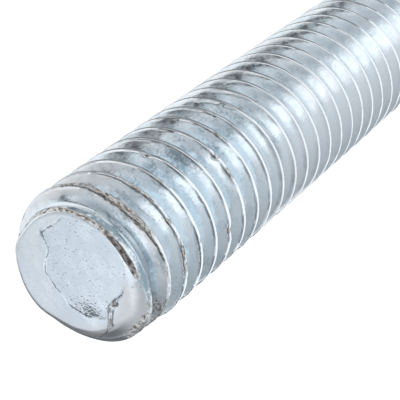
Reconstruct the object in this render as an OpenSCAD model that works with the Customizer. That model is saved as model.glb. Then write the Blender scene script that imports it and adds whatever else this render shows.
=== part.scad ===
// Threaded rod, M6 x 1: a short length that stands on one end, with the origin under its middle.
// It is one solid. A right-hand rolled thread runs its whole length. The foot is cut flat and
// bevelled, and the top end has the same bevel below a low crown.

/* [Thread] */
// Diameter over the crests of the thread
thread_d = 6; // [4:0.5:12]
// Distance along the rod from one crest to the next
pitch = 1; // [0.8:0.05:1.5]
// Angle about the rod's axis at which a crest runs out at the top end, in degrees
runout_turn = 4; // [-180:1:180]

/* [Rod] */
// Length from end to end
rod_len = 50; // [20:1:60]

/* [Ends] */
// How far the bevel at each end cuts in from the crests
bevel_in = 0.48; // [0.2:0.02:0.9]
// How far that bevel runs along the rod
bevel_len = 0.48; // [0.2:0.02:1.2]
// Width of the slope around the crown's flat middle, at the top end
crown_w = 0.75; // [0.2:0.05:1.2]
// Height of the crown above the bevel, at the top end
crown_h = 0.1; // [0.02:0.01:0.3]

/* [Hidden] */

zinc = [0.75, 0.79, 0.83];
// Facets around one turn of the thread: a multiple of 4 keeps the width over crests true
turn_facets = 24;

// ISO metric profile: a V of 60 degrees that loses an eighth of its height at the crest and a
// sixth at the root, so that its flats are the same shares of the pitch
v_height = pitch * cos(30);
crest_cut = 1 / 8;
root_cut = 1 / 6;
thread_r = thread_d / 2;
root_r = thread_r - v_height * (1 - crest_cut - root_cut);
crest_w = pitch * crest_cut;
root_w = pitch * root_cut;
crest_mid = (pitch + root_w) / 2;
// One pitch of the profile as [radius, height], from the root below a crest to that crest
PROFILE = [
    [root_r, 0],
    [root_r, root_w],
    [thread_r, crest_mid - crest_w / 2],
    [thread_r, crest_mid + crest_w / 2]
];
last_point = len(PROFILE) - 1;

// The thread is made longer than the rod, by a turn below the foot and two above the top, and
// is then cut to length
turns = ceil(rod_len / pitch) + 3;
steps = turns * turn_facets;
// Height at which the crest passes angle 0 for the last time below the foot, so placed that a
// crest meets the top end at runout_turn
runout = runout_turn / 360;
crest_z = rod_len - pitch * (runout + ceil(rod_len / pitch - runout));

// Both bevels reach the thread's root or stop just outside it, at this radius
end_r = thread_r - bevel_in;

// Number of point j of the profile at step i of the helix. The point after the last one is the
// first one of the next turn.
function point_number(i, j) =
    j > last_point ? point_number(i + turn_facets, 0) : i * len(PROFILE) + j;

function helix_point(i, j) =
    let (
        angle = i * 360 / turn_facets,
        rise = pitch * (i / turn_facets - 1)
    )
    [
        PROFILE[j][0] * cos(angle),
        PROFILE[j][0] * sin(angle),
        crest_z - crest_mid + rise + PROFILE[j][1]
    ];

// The uncut thread: one helical skin of flat facets, closed by a fan at each end
module thread() {
    rings = steps + turn_facets;
    foot_mid = (rings + 1) * len(PROFILE);
    top_mid = foot_mid + 1;
    foot_z = crest_z - pitch;
    points = [
        for (i = [0:rings], j = [0:last_point]) helix_point(i, j),
        [0, 0, foot_z],
        [0, 0, foot_z + pitch * turns]
    ];
    skin = [
        for (i = [0:steps - 1], j = [0:last_point])
            let (
                low = point_number(i, j),
                low_next = point_number(i + 1, j),
                high = point_number(i, j + 1),
                high_next = point_number(i + 1, j + 1)
            )
            each [[low, high_next, low_next], [low, high, high_next]]
    ];
    foot_fan = [
        for (i = [0:turn_facets - 1]) [foot_mid, point_number(i, 0), point_number(i + 1, 0)],
        for (j = [0:last_point]) [foot_mid, point_number(0, j + 1), point_number(0, j)]
    ];
    top_fan = [
        for (i = [steps:rings - 1]) [top_mid, point_number(i + 1, 0), point_number(i, 0)],
        for (j = [0:last_point]) [top_mid, point_number(steps, j), point_number(steps, j + 1)]
    ];
    polyhedron(points, concat(skin, foot_fan, top_fan));
}

// What the two ends leave of the rod: flat foot, bevels and crown. Between them it is wide
// enough to clear the thread.
module end_form() {
    clear_r = thread_r + pitch;
    bevel_rise = (clear_r - end_r) * bevel_len / bevel_in;
    crown_z = rod_len - crown_h;
    rotate_extrude($fn = 96)
        polygon([
            [0, 0],
            [end_r, 0],
            [clear_r, bevel_rise],
            [clear_r, crown_z - bevel_rise],
            [end_r, crown_z],
            [end_r - crown_w, rod_len],
            [0, rod_len]
        ]);
}

module rod() {
    color(zinc)
        intersection() {
            thread();
            end_form();
        }
}

rod();
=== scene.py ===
"""Looks of a short length of zinc-plated M6 threaded rod that stands on one end.

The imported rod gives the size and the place. Its faceted skin is replaced by a finer one of the
same thread, with rounded roots, folded and torn crests, and a top end that was sheared off and
rolled over before it was plated. Sizes are in millimetres until a mesh is made of them.
"""

import logging
import math
from collections.abc import Callable
from dataclasses import dataclass, field
from enum import Enum

import bpy
import numpy as np
from mathutils import Matrix, Vector


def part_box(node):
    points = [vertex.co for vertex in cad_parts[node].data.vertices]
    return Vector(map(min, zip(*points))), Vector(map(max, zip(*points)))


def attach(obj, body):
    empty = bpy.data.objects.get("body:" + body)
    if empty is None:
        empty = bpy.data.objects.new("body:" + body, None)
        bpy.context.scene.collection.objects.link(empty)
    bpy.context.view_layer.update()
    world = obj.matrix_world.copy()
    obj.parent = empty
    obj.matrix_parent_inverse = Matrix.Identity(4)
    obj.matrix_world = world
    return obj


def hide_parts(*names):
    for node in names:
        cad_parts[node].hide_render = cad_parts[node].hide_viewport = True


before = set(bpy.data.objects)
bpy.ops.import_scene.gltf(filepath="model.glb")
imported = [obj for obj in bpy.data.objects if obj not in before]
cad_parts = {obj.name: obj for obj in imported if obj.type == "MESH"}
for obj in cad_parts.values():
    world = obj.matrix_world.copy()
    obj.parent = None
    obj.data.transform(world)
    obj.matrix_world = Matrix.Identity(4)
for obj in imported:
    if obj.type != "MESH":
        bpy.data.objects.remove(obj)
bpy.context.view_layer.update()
MM = 0.001
log = logging.getLogger("threaded_rod")

Colour = tuple[float, float, float, float]
BLACK: Colour = (0.0, 0.0, 0.0, 1.0)
WHITE: Colour = (1.0, 1.0, 1.0, 1.0)
Masks = dict[str, np.ndarray]
# Place and colour of each stop of a colour ramp
Stops = tuple[tuple[float, tuple[float, float, float]], ...]
# What goes into a node's input
Feed = bpy.types.NodeSocket | float | tuple[float, ...]


# ---------------------------------------------------------------- numbers and noise

# Added to every place in a noise, so that no cell has a number below 0
NOISE_SHIFT = 4096.0


def lattice_value(cell: np.ndarray, seed: int) -> np.ndarray:
    """Gives each whole-number cell a fixed random value.

    Args:
        cell: Whole numbers, three to a row.
        seed: Which of many independent sets of values to use.

    Returns:
        One value from -1 to 1 for each row.
    """
    # The large factors mean nothing by themselves: they scatter the bits of the cell's numbers
    x, y, z = (cell[..., k].astype(np.uint64) for k in range(3))
    mixed = (x * 73856093) ^ (y * 19349663) ^ (z * 83492791) ^ np.uint64(seed * 2654435761 % 2**32)
    mixed = (mixed ^ (mixed >> 13)) * 1274126177 % 2**32
    mixed = (mixed ^ (mixed >> 16)) * 2246822519 % 2**32
    return (mixed ^ (mixed >> 15)) % 2**24 / 2**23 - 1.0


def noise(points: np.ndarray, size: float, seed: int) -> np.ndarray:
    """Smooth random values in space.

    Args:
        points: Places in millimetres, three to a row.
        size: How far apart the bumps of the noise lie.
        seed: Which of many independent noises to use.

    Returns:
        One value from about -1 to 1 for each row.
    """
    spot = points / size + NOISE_SHIFT
    cell = np.floor(spot).astype(np.int64)
    part = spot - cell
    part = part * part * (3.0 - 2.0 * part)
    total = np.zeros(points.shape[:-1])
    for corner in np.ndindex(2, 2, 2):
        weight = np.prod(np.where(corner, part, 1.0 - part), axis=-1)
        total += weight * lattice_value(cell + corner, seed)
    return total


def layered_noise(points: np.ndarray, size: float, layers: int, seed: int) -> np.ndarray:
    """Noise with finer and weaker noise laid over it.

    Args:
        points: Places in millimetres, three to a row.
        size: Bump spacing of the coarsest layer.
        layers: How many layers, each half as coarse and half as strong as the last.
        seed: Which of many independent noises to use.

    Returns:
        One value from about -1 to 1 for each row.
    """
    shares = 0.5 ** np.arange(layers)
    parts = [share * noise(points, size * share, seed + k) for k, share in enumerate(shares)]
    return sum(parts) / shares.sum()


def smooth_step(low: float, high: float, value: np.ndarray) -> np.ndarray:
    """Rises smoothly from 0 at low to 1 at high."""
    part = np.clip((value - low) / (high - low), 0.0, 1.0)
    return part * part * (3.0 - 2.0 * part)


def hump(value: np.ndarray, width: float) -> np.ndarray:
    """A smooth hump of height 1 over 0 that has mostly faded a width away."""
    return np.exp(-((value / width) ** 2))


def bearing(turn: np.ndarray) -> np.ndarray:
    """Degrees clockwise from the front, seen from above, at a number of turns from the X axis."""
    return (90.0 - 360.0 * np.asarray(turn)) % 360.0 - 180.0


def around(turn: np.ndarray, r: np.ndarray | float, z: np.ndarray) -> np.ndarray:
    """Places points around the rod.

    Args:
        turn: Their directions from the rod's middle, as turns from the X axis.
        r: Their distances from the middle.
        z: Their heights.

    Returns:
        The points, three numbers to a row.
    """
    angle = 2.0 * math.pi * turn
    return np.stack([r * np.cos(angle), r * np.sin(angle), z], axis=-1)


@dataclass(frozen=True)
class Knots:
    """A smooth curve through a few given knots.

    Attributes:
        pairs: Place and value of each knot, in order of place.
        period: The curve repeats after this much, or is held at its ends if this is 0.
    """

    pairs: tuple[tuple[float, float], ...]
    period: float = 0.0

    def at(self, place: np.ndarray) -> np.ndarray:
        """Reads the curve.

        Args:
            place: Where to read it.

        Returns:
            The curve's value at each place.
        """
        x = np.array([p for p, _ in self.pairs])
        y = np.array([v for _, v in self.pairs])
        if self.period:
            place = (np.asarray(place) - x[0]) % self.period + x[0]
            x = np.concatenate([[x[-1] - self.period], x, [x[0] + self.period, x[1] + self.period]])
            y = np.concatenate([[y[-1]], y, [y[0], y[1]]])
        k = np.clip(np.searchsorted(x, place, side="right") - 1, 0, len(x) - 2)
        run = x[k + 1] - x[k]
        part = np.clip((place - x[k]) / run, 0.0, 1.0)
        slope = np.gradient(y, x)
        rise = part * part * (3.0 - 2.0 * part)
        leave = part * (1.0 - part) ** 2 * run * slope[k]
        arrive = part * part * (1.0 - part) * run * slope[k + 1]
        return y[k] * (1.0 - rise) + y[k + 1] * rise + leave - arrive

    def share(self, place: np.ndarray) -> np.ndarray:
        """Reads the curve as a share, which is kept from 0 to 1."""
        return np.clip(self.at(place), 0.0, 1.0)


def by_bearing(*pairs: tuple[float, float]) -> Knots:
    """A curve around the rod, through values at bearings in degrees."""
    return Knots(pairs, period=360.0)


@dataclass(frozen=True)
class Span:
    """A stretch that fades in and out.

    Attributes:
        start: Where it begins to fade in.
        full: Where it is all there.
        fade: Where it begins to fade out.
        end: Where it is gone.
    """

    start: float
    full: float
    fade: float
    end: float

    def at(self, place: np.ndarray) -> np.ndarray:
        """From 0 outside the stretch to 1 in its middle."""
        return smooth_step(self.start, self.full, place) * smooth_step(self.end, self.fade, place)


# ---------------------------------------------------------------- the thread and its wear


@dataclass(frozen=True)
class ThreadForm:
    """Sizes and section of the rolled thread.

    Attributes:
        crest_r: Radius over the crests.
        length: Length of the rod.
        pitch: Distance from one crest to the next.
        runout: Angle at which a crest meets the top end, in degrees.
        flank_angle: Angle between the two flanks of a groove, in degrees.
        crest_flat: Width of a crest's land, as a share of the pitch.
        root_round: Radius of the rounded root, as a share of the pitch.
    """

    crest_r: float
    length: float
    pitch: float = 1.0
    runout: float = 4.0
    flank_angle: float = 60.0
    crest_flat: float = 1 / 8
    root_round: float = 0.144

    def crest_z(self, turn: np.ndarray) -> np.ndarray:
        """Height of the crest's middle at a turn, counted from the X axis near the top."""
        return self.length + self.pitch * (turn - self.runout / 360.0)

    def depth(self, share: np.ndarray) -> np.ndarray:
        """How far the thread's surface lies below the crest.

        Args:
            share: Distance above the crest's middle, as a share of the pitch from -0.5 to 0.5.

        Returns:
            Depth in millimetres.
        """
        half_angle = math.radians(self.flank_angle / 2.0)
        slope = 1.0 / math.tan(half_angle)
        flank = (np.abs(share) - self.crest_flat / 2.0) * slope
        sharp_depth = (1.0 - self.crest_flat) / 2.0 * slope
        from_root = 0.5 - np.abs(share)
        inside = np.clip(self.root_round**2 - from_root**2, 0.0, None)
        rounded = sharp_depth - self.root_round / math.sin(half_angle) + np.sqrt(inside)
        deep = np.where(from_root < self.root_round * math.cos(half_angle), rounded, flank)
        return np.clip(deep, 0.0, None) * self.pitch


@dataclass(frozen=True)
class Spots:
    """Places around the rod, with what its wear goes by there.

    Attributes:
        turn: Direction from the rod's middle, as turns from the X axis.
        z: Height above the foot.
        crest: Turn of the nearest crest, counted along the thread from the top end.
        share: Distance above that crest, as a share of the pitch.
        below: Distance below the rim.
        fine: Fine noise, from about -1 to 1.
        slow: Slow noise, from about -1 to 1.
    """

    turn: np.ndarray
    z: np.ndarray
    crest: np.ndarray
    share: np.ndarray
    below: np.ndarray
    fine: np.ndarray
    slow: np.ndarray

    @property
    def way(self) -> np.ndarray:
        """Bearings of the places."""
        return bearing(self.turn)


@dataclass(frozen=True)
class Patch:
    """A stretch of one crest or groove with a look of its own.

    Attributes:
        turn: Where on the thread its middle is.
        reach: How far it reaches to each side, in turns.
    """

    turn: float
    reach: float

    def at(self, crest: np.ndarray) -> np.ndarray:
        """From 0 far away to 1 in the patch's middle."""
        return hump(crest - self.turn, self.reach)


@dataclass(frozen=True)
class Chip(Patch):
    """A place where the crest has broken out.

    Attributes:
        deep: Its depth.
    """

    deep: float


@dataclass(frozen=True)
class CrestFold:
    """The fold along each crest, where the rolls lapped its metal over.

    Attributes:
        place: Its distance above the crest's middle, as a share of the pitch.
        wide: How wide it is, as a share of the pitch.
        deep: Its depth.
        torn_place: How much farther up it lies where the crest is torn and low.
        torn_wide: How much wider it is where the crest is torn.
        torn_deep: How much deeper it is there.
        torn_climb: How quickly it moves up with the height lost, until it has moved all the way.
        wander: How far it wanders up and down.
        gaps: Values of the slow noise at which the fold is missing and whole.
        torn_gaps: How many fewer gaps it has where the crest is torn.
        sets_in: Turns between which it sets in, below the top end.
    """

    place: float = 0.066
    wide: float = 0.017
    deep: float = 0.016
    torn_place: float = 0.05
    torn_wide: float = 0.03
    torn_deep: float = 0.05
    torn_climb: float = 6.0
    wander: float = 0.010
    gaps: tuple[float, float] = (-0.35, 0.05)
    torn_gaps: float = 0.4
    sets_in: tuple[float, float] = (-0.70, -0.80)

    def mask(self, spots: Spots, lost: np.ndarray, torn: np.ndarray) -> np.ndarray:
        """Where the fold is.

        Args:
            spots: The places.
            lost: Height that the crest has lost.
            torn: How torn the crest is.

        Returns:
            From 0 beside the fold to 1 in it.
        """
        place = self.place + self.torn_place * torn * np.minimum(lost * self.torn_climb, 1.0)
        off = spots.share - place - self.wander * spots.fine
        folded = hump(off, self.wide + self.torn_wide * torn)
        folded = folded * smooth_step(*self.gaps, spots.slow + self.torn_gaps * torn)
        return folded * smooth_step(*self.sets_in, spots.crest)


@dataclass(frozen=True)
class PaintedReflections:
    """Dark reflections, painted as short smudge marks, one on each turn, that lie one below the other.

    Attributes:
        way: Bearing of their middle.
        reach: How far they reach to each side, in degrees.
        share: Their distance above the crest, as a share of the pitch.
        wide: How wide they are, as a share of the pitch.
        lean: How much they sink towards the crest, in pitches to a degree.
        turns: Where on the thread they are.
        dark: How dark they are.
        uneven: How much darker and paler they are from spot to spot.
        painted_sheen_reach: How far the paler patch, a sheen painted above them, reaches to each side, in
            degrees.
        painted_sheen_turns: Where on the thread that painted sheen is.
    """

    way: float = -57.0
    reach: float = 10.0
    share: float = 0.13
    wide: float = 0.05
    lean: float = 0.006
    turns: Span = Span(-19.0, -12.0, -8.0, -3.0)
    dark: float = 0.62
    uneven: float = 0.7
    painted_sheen_reach: float = 14.0
    painted_sheen_turns: Span = Span(-3.8, -2.6, -1.3, -0.9)

    def mask(self, spots: Spots) -> np.ndarray:
        """Where the painted dark reflections are, which lean across the flanks.

        Args:
            spots: The places.

        Returns:
            How dark they make each place.
        """
        # A dark reflection is painted at one bearing on many turns, leaning across the flank
        away = spots.way - self.way
        there = self.turns.at(spots.crest) * hump(away, self.reach)
        there = there * hump(spots.share - self.share + self.lean * away, self.wide)
        return self.dark * there * (1.0 + self.uneven * spots.fine)

    def pale(self, spots: Spots) -> np.ndarray:
        """How much sheen is painted above the dark reflections, as paler plating on a few turns, from 0 to 1.
        """
        return self.painted_sheen_turns.at(spots.crest) * hump(spots.way - self.way, self.painted_sheen_reach)


@dataclass(frozen=True)
class CrestWear:
    """How the crest is cropped, torn and folded along the thread.

    Attributes:
        lost: Height that the crest has lost, by turn.
        torn: How torn and brown it is, from 0 to 1, by turn.
        torn_patches: How much more torn it is in patches here and there.
        chips: The places where it has broken out.
        chip_torn: How torn they are.
        chip_share: Distance of their dark bottom above the crest, as a share of the pitch.
        chip_wide: Half the width of that bottom, as a share of the pitch.
        grows: Turns between which the wear grows, on the way up to the top end.
        cropped: Height that every worn crest has lost.
        land_edge: Height over which the crest's land passes into the flanks.
        land_rough: How rough the land is.
        torn_rough: How much rougher it is where it is torn.
        wavy: How far the whole surface wanders in and out.
        fold: The fold along the crest.
        run_in: How far the rolls have run into the groove below the first crest, from 0 to 1, by turn.
        run_in_wide: How much wider the groove is where that is 1.
        run_in_lean: How much the crest above it leans there.
        flank_line: How marked the line low on the flank is where the rolls let go, by turn.
        line_share: Distance of that line above the crest, as a share of the pitch.
        line_wide: Width of the line, as a share of the pitch.
        line_high: Height of the line.
        line_deep: How much deeper the flank is beyond the line.
        line_step: Distances above the line between which it gets deeper, as shares of the pitch.
        painted_reflections: Dark reflections painted into the plating's colour, one on each turn, with a
            paler sheen painted above them.
        mottled: How mottled the plating of the flanks is, by bearing.
        mottled_near: Turns between which the mottling grows, on the way up to the top end.
        mottled_groove: How mottled the pressed groove below the first crest is.
        mottled_spot: A mottled spot on a flank.
        mottled_share: Its distance above the crest and half its width, as shares of the pitch.
        mottled_strong: How mottled it is.
        hazy: How dull the plating of the flank is, by turn.
        hazy_edge: Distances above the crest at which the haze is gone and full, as shares of the pitch.
        hazy_wander: How far that edge wanders.
        hazy_all: Turns between which the haze begins to cover the whole groove.
        line_dark: How dark the line beside a folded crest is, by bearing.
        low_line: Distance above the crest of the dark line low on the marked flank, and half its
            width, as shares of the pitch.
        low_dark: How dark that line is.
        painted_far_sheen: How much sheen is painted far below the top end, as paler plating, by bearing.
        far_sheen_turns: Turns between which it gets so, on the way down.
        ridge: The place where the first whole crest is bare and bright.
        ridge_edge: Distances above the crest's middle at which it is not bare and all bare, as
            shares of the pitch.
        ridge_wander: How far that edge wanders.
        soil: The two soiled places beside the lower end of the first groove.
        soil_below: Distance below the rim from which the upper one is all soiled.
        soil_dark: How dark they are.
        soil_torn: How torn they look.
    """

    lost: Knots = Knots((
        (-1.80, 0.0), (-1.60, 0.04), (-1.44, 0.09), (-1.34, 0.03), (-1.28, 0.09), (-1.22, 0.17),
        (-1.17, 0.13), (-1.10, 0.0), (-0.80, 0.0), (-0.71, 0.04), (-0.64, 0.15), (-0.50, 0.16),
        (-0.42, 0.13), (-0.36, 0.30), (-0.25, 0.46), (-0.09, 0.50), (0.1, 0.51)))
    torn: Knots = Knots((
        (-3.2, 0.0), (-2.9, 0.18), (-2.42, 0.3), (-2.36, 0.55), (-2.3, 0.35), (-2.2, 0.6), (-2.1, 0.2),
        (-1.9, 0.1), (-1.62, 0.2), (-1.45, 0.4), (-1.36, 0.5), (-1.29, 0.7), (-1.25, 1.0), (-1.19, 0.9),
        (-1.12, 0.6), (-1.03, 0.25), (-0.8, 0.15), (-0.6, 0.25), (-0.45, 0.25), (-0.3, 0.2),
        (-0.05, 0.2)))
    torn_patches: float = 0.5
    chips: tuple[Chip, ...] = (
        Chip(-2.19, 0.02, 0.05), Chip(-2.278, 0.014, 0.04), Chip(-2.37, 0.008, 0.04),
        Chip(-6.235, 0.008, 0.02), Chip(-6.28, 0.03, 0.02), Chip(-7.21, 0.01, 0.02),
        Chip(-4.15, 0.01, 0.05), Chip(-5.38, 0.012, 0.06), Chip(-3.62, 0.015, 0.06))
    chip_torn: float = 0.6
    chip_share: float = 0.06
    chip_wide: float = 0.035
    grows: tuple[float, float] = (-15.0, -5.0)
    cropped: float = 0.022
    land_edge: float = 0.04
    land_rough: float = 0.010
    torn_rough: float = 0.05
    wavy: float = 0.010
    fold: CrestFold = CrestFold()
    run_in: Knots = Knots(((-0.75, 0.0), (-0.50, 0.8), (-0.38, 1.0), (0.1, 1.0)))
    run_in_wide: float = 0.64
    run_in_lean: float = 0.25
    flank_line: Knots = Knots(((-1.50, 0.0), (-1.40, 0.6), (-1.20, 1.0), (-1.12, 0.7), (-1.06, 0.0)))
    line_share: float = 0.24
    line_wide: float = 0.022
    line_high: float = 0.020
    line_deep: float = 0.07
    line_step: tuple[float, float] = (0.01, 0.10)
    # Dark reflections painted on each turn, with a paler sheen painted above them
    painted_reflections: PaintedReflections = PaintedReflections()
    mottled: Knots = by_bearing((-180, 0.35), (-90, 0.20), (-60, 0.20), (-40, 0.7), (-15, 0.9),
                                (6, 0.25), (35, 0.35), (70, 0.30), (120, 0.35))
    mottled_near: tuple[float, float] = (-22.0, -2.0)
    mottled_groove: float = 0.8
    mottled_spot: Patch = Patch(-1.36, 0.06)
    mottled_share: tuple[float, float] = (0.17, 0.06)
    mottled_strong: float = 0.3
    hazy: Knots = Knots((
        (-3.22, 0.0), (-3.14, 0.5), (-3.02, 0.5), (-2.92, 0.0), (-2.24, 0.0), (-2.14, 0.8),
        (-2.00, 0.8), (-1.90, 0.0), (-1.60, 0.0), (-1.46, 0.6), (-1.36, 1.0), (-1.05, 1.0),
        (-0.90, 0.0), (-0.28, 0.0), (-0.18, 0.7), (0.1, 0.7)))
    hazy_edge: tuple[float, float] = (0.28, 0.23)
    hazy_wander: float = 0.03
    hazy_all: tuple[float, float] = (-0.50, -0.30)
    line_dark: Knots = by_bearing((-180, 0.9), (-110, 0.6), (-85, 0.4), (-60, 1.0), (90, 1.0))
    low_line: tuple[float, float] = (0.36, 0.04)
    low_dark: float = 0.4
    # Sheen painted as paler plating on the far turns, strongest on one side
    painted_far_sheen: Knots = by_bearing((-180, 0.45), (10, 0.45), (35, 0.95), (110, 0.95), (150, 0.45))
    far_sheen_turns: tuple[float, float] = (-5.0, -13.0)
    ridge: Patch = Patch(-1.32, 0.05)
    ridge_edge: tuple[float, float] = (0.03, -0.01)
    ridge_wander: float = 0.02
    soil: tuple[Patch, Patch] = (Patch(-0.46, 0.06), Patch(-1.46, 0.07))
    soil_below: float = 0.08
    soil_dark: float = 0.35
    soil_torn: float = 0.58

    def worn(self, spots: Spots) -> np.ndarray:
        """How worn the thread is, from 0 far below the top end to 1 near it."""
        return smooth_step(*self.grows, spots.crest)

    def crop(self, spots: Spots) -> tuple[np.ndarray, np.ndarray]:
        """Reads how the crest is cropped and torn, chips included.

        Args:
            spots: The places.

        Returns:
            Height lost, and how torn the crest is.
        """
        lost = np.clip(self.lost.at(spots.crest), 0.0, None)
        torn = self.torn.share(spots.crest)
        for chip in self.chips:
            lost = lost + chip.deep * chip.at(spots.crest)
            torn = np.maximum(torn, self.chip_torn * chip.at(spots.crest))
        torn = torn + self.torn_patches * smooth_step(0.25, 0.6, spots.slow) * self.worn(spots)
        return lost, np.clip(torn, 0.0, 1.0)

    def chipped(self, spots: Spots) -> np.ndarray:
        """How much of the dark bottom of a chip each place is."""
        along = sum(chip.at(spots.crest) for chip in self.chips)
        return along * hump(spots.share - self.chip_share, self.chip_wide)

    def soiled(self, spots: Spots) -> np.ndarray:
        """How soiled the places are."""
        upper, lower = (patch.at(spots.crest) for patch in self.soil)
        return upper * smooth_step(0.0, self.soil_below, spots.below) + lower

    def bright_ridge(self, spots: Spots) -> np.ndarray:
        """How bare and bright the places are, on the lower side of a crest."""
        edge = smooth_step(*self.ridge_edge, spots.share + self.ridge_wander * spots.fine)
        return self.ridge.at(spots.crest) * edge

    def flank_step(self, spots: Spots) -> np.ndarray:
        """How far the line on the flank, and the flank beyond it, stand out.

        Args:
            spots: The places.

        Returns:
            Height in millimetres, below 0 where the flank is deeper.
        """
        line = self.line_high * hump(spots.share - self.line_share, self.line_wide)
        near, far = (self.line_share + step for step in self.line_step)
        beyond = self.line_deep * smooth_step(near, far, spots.share)
        return self.flank_line.at(spots.crest) * (line - beyond)

    def haze(self, spots: Spots) -> np.ndarray:
        """How dull the plating is.

        Args:
            spots: The places.

        Returns:
            From 0 to 1.
        """
        below_line = smooth_step(*self.hazy_edge, spots.share + self.hazy_wander * spots.slow)
        first_groove = smooth_step(*self.hazy_all, spots.crest)
        return self.hazy.share(spots.crest) * np.maximum(below_line, first_groove)

    def mottle(self, spots: Spots) -> np.ndarray:
        """How mottled the plating is.

        Args:
            spots: The places.

        Returns:
            From 0 to about 1.
        """
        # Less mottled where the paler sheen is painted above the dark reflections
        near = smooth_step(*self.mottled_near, spots.crest) * (1.0 - 0.6 * self.painted_reflections.pale(spots))
        groove = self.run_in.at(spots.crest) * smooth_step(0.5, 0.0, np.abs(spots.share + 0.1))
        share, wide = self.mottled_share
        spot = self.mottled_spot.at(spots.crest) * hump(spots.share - share, wide)
        by_way = self.mottled.share(spots.way) * near
        return by_way + self.mottled_groove * groove + self.mottled_strong * spot

    def groove_share(self, spots: Spots) -> np.ndarray:
        """Distance above the crest as a share of the pitch, where the run-in has widened the groove."""
        widened = np.where(spots.share < 0.0, 1.0 + self.run_in_wide * self.run_in.at(spots.crest), 1.0)
        return np.clip(spots.share * widened, -0.5, 0.5)

    def limit(self, spots: Spots, lost: np.ndarray, torn: np.ndarray) -> np.ndarray:
        """How far below the crest's nominal radius nothing of the crest is left.

        Args:
            spots: The places.
            lost: Height that the crest has lost.
            torn: How torn the crest is.

        Returns:
            Depth in millimetres.
        """
        rough = (self.land_rough + self.torn_rough * torn) * (0.5 + 0.5 * spots.fine)
        lean = self.run_in_lean * self.run_in.at(spots.crest) * spots.share
        return lost + self.cropped * self.worn(spots) + rough + lean


@dataclass(frozen=True)
class WornCrest:
    """What is left of the crest at places around the rod.

    Attributes:
        r: Distance of the surface from the rod's middle.
        depth: How far the unworn thread lies below its crest there.
        lost: Height that the crest has lost.
        torn: How torn it is.
        folded: How much of the fold each place is.
        land: How much of the cropped land each place is.
    """

    r: np.ndarray
    depth: np.ndarray
    lost: np.ndarray
    torn: np.ndarray
    folded: np.ndarray
    land: np.ndarray


# ---------------------------------------------------------------- the sheared end


@dataclass(frozen=True)
class Cluster:
    """A round or drawn-out area on the end face.

    Attributes:
        x: Place of its middle across the rod.
        y: Place of its middle along the other way across.
        reach: How far it reaches.
        stretch: How much farther it reaches along X than along Y.
        strong: Its value in the middle.
    """

    x: float
    y: float
    reach: float
    stretch: float = 1.0
    strong: float = 1.0

    def at(self, x: np.ndarray, y: np.ndarray) -> np.ndarray:
        """Its value at places on the face, which is 0 far away."""
        return self.strong * hump(np.hypot((x - self.x) / self.stretch, y - self.y), self.reach)


@dataclass(frozen=True)
class FaceSpots:
    """Places on the end face, with their distances from the folds.

    Attributes:
        place: The places, three numbers to a row.
        inside: How far inside the rim they are.
        lap: How far outside the folded ring's edge they are.
        flap: How far outside the flap's edge they are.
        broken: How much is left there of a crack, from 0 to 1, which breaks the cracks up.
    """

    place: np.ndarray
    inside: np.ndarray
    lap: np.ndarray
    flap: np.ndarray
    broken: np.ndarray

    @property
    def r(self) -> np.ndarray:
        """Distances of the places from the rod's middle."""
        return np.hypot(self.place[..., 0], self.place[..., 1])

    @property
    def way(self) -> np.ndarray:
        """Bearings of the places."""
        return np.degrees(np.arctan2(-self.place[..., 0], -self.place[..., 1]))


# Edges on the end face that have a crack: the folded ring's (a), the flap's (b) and its lip's (c)
CRACKED_EDGES = ("a", "b", "c")


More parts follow.
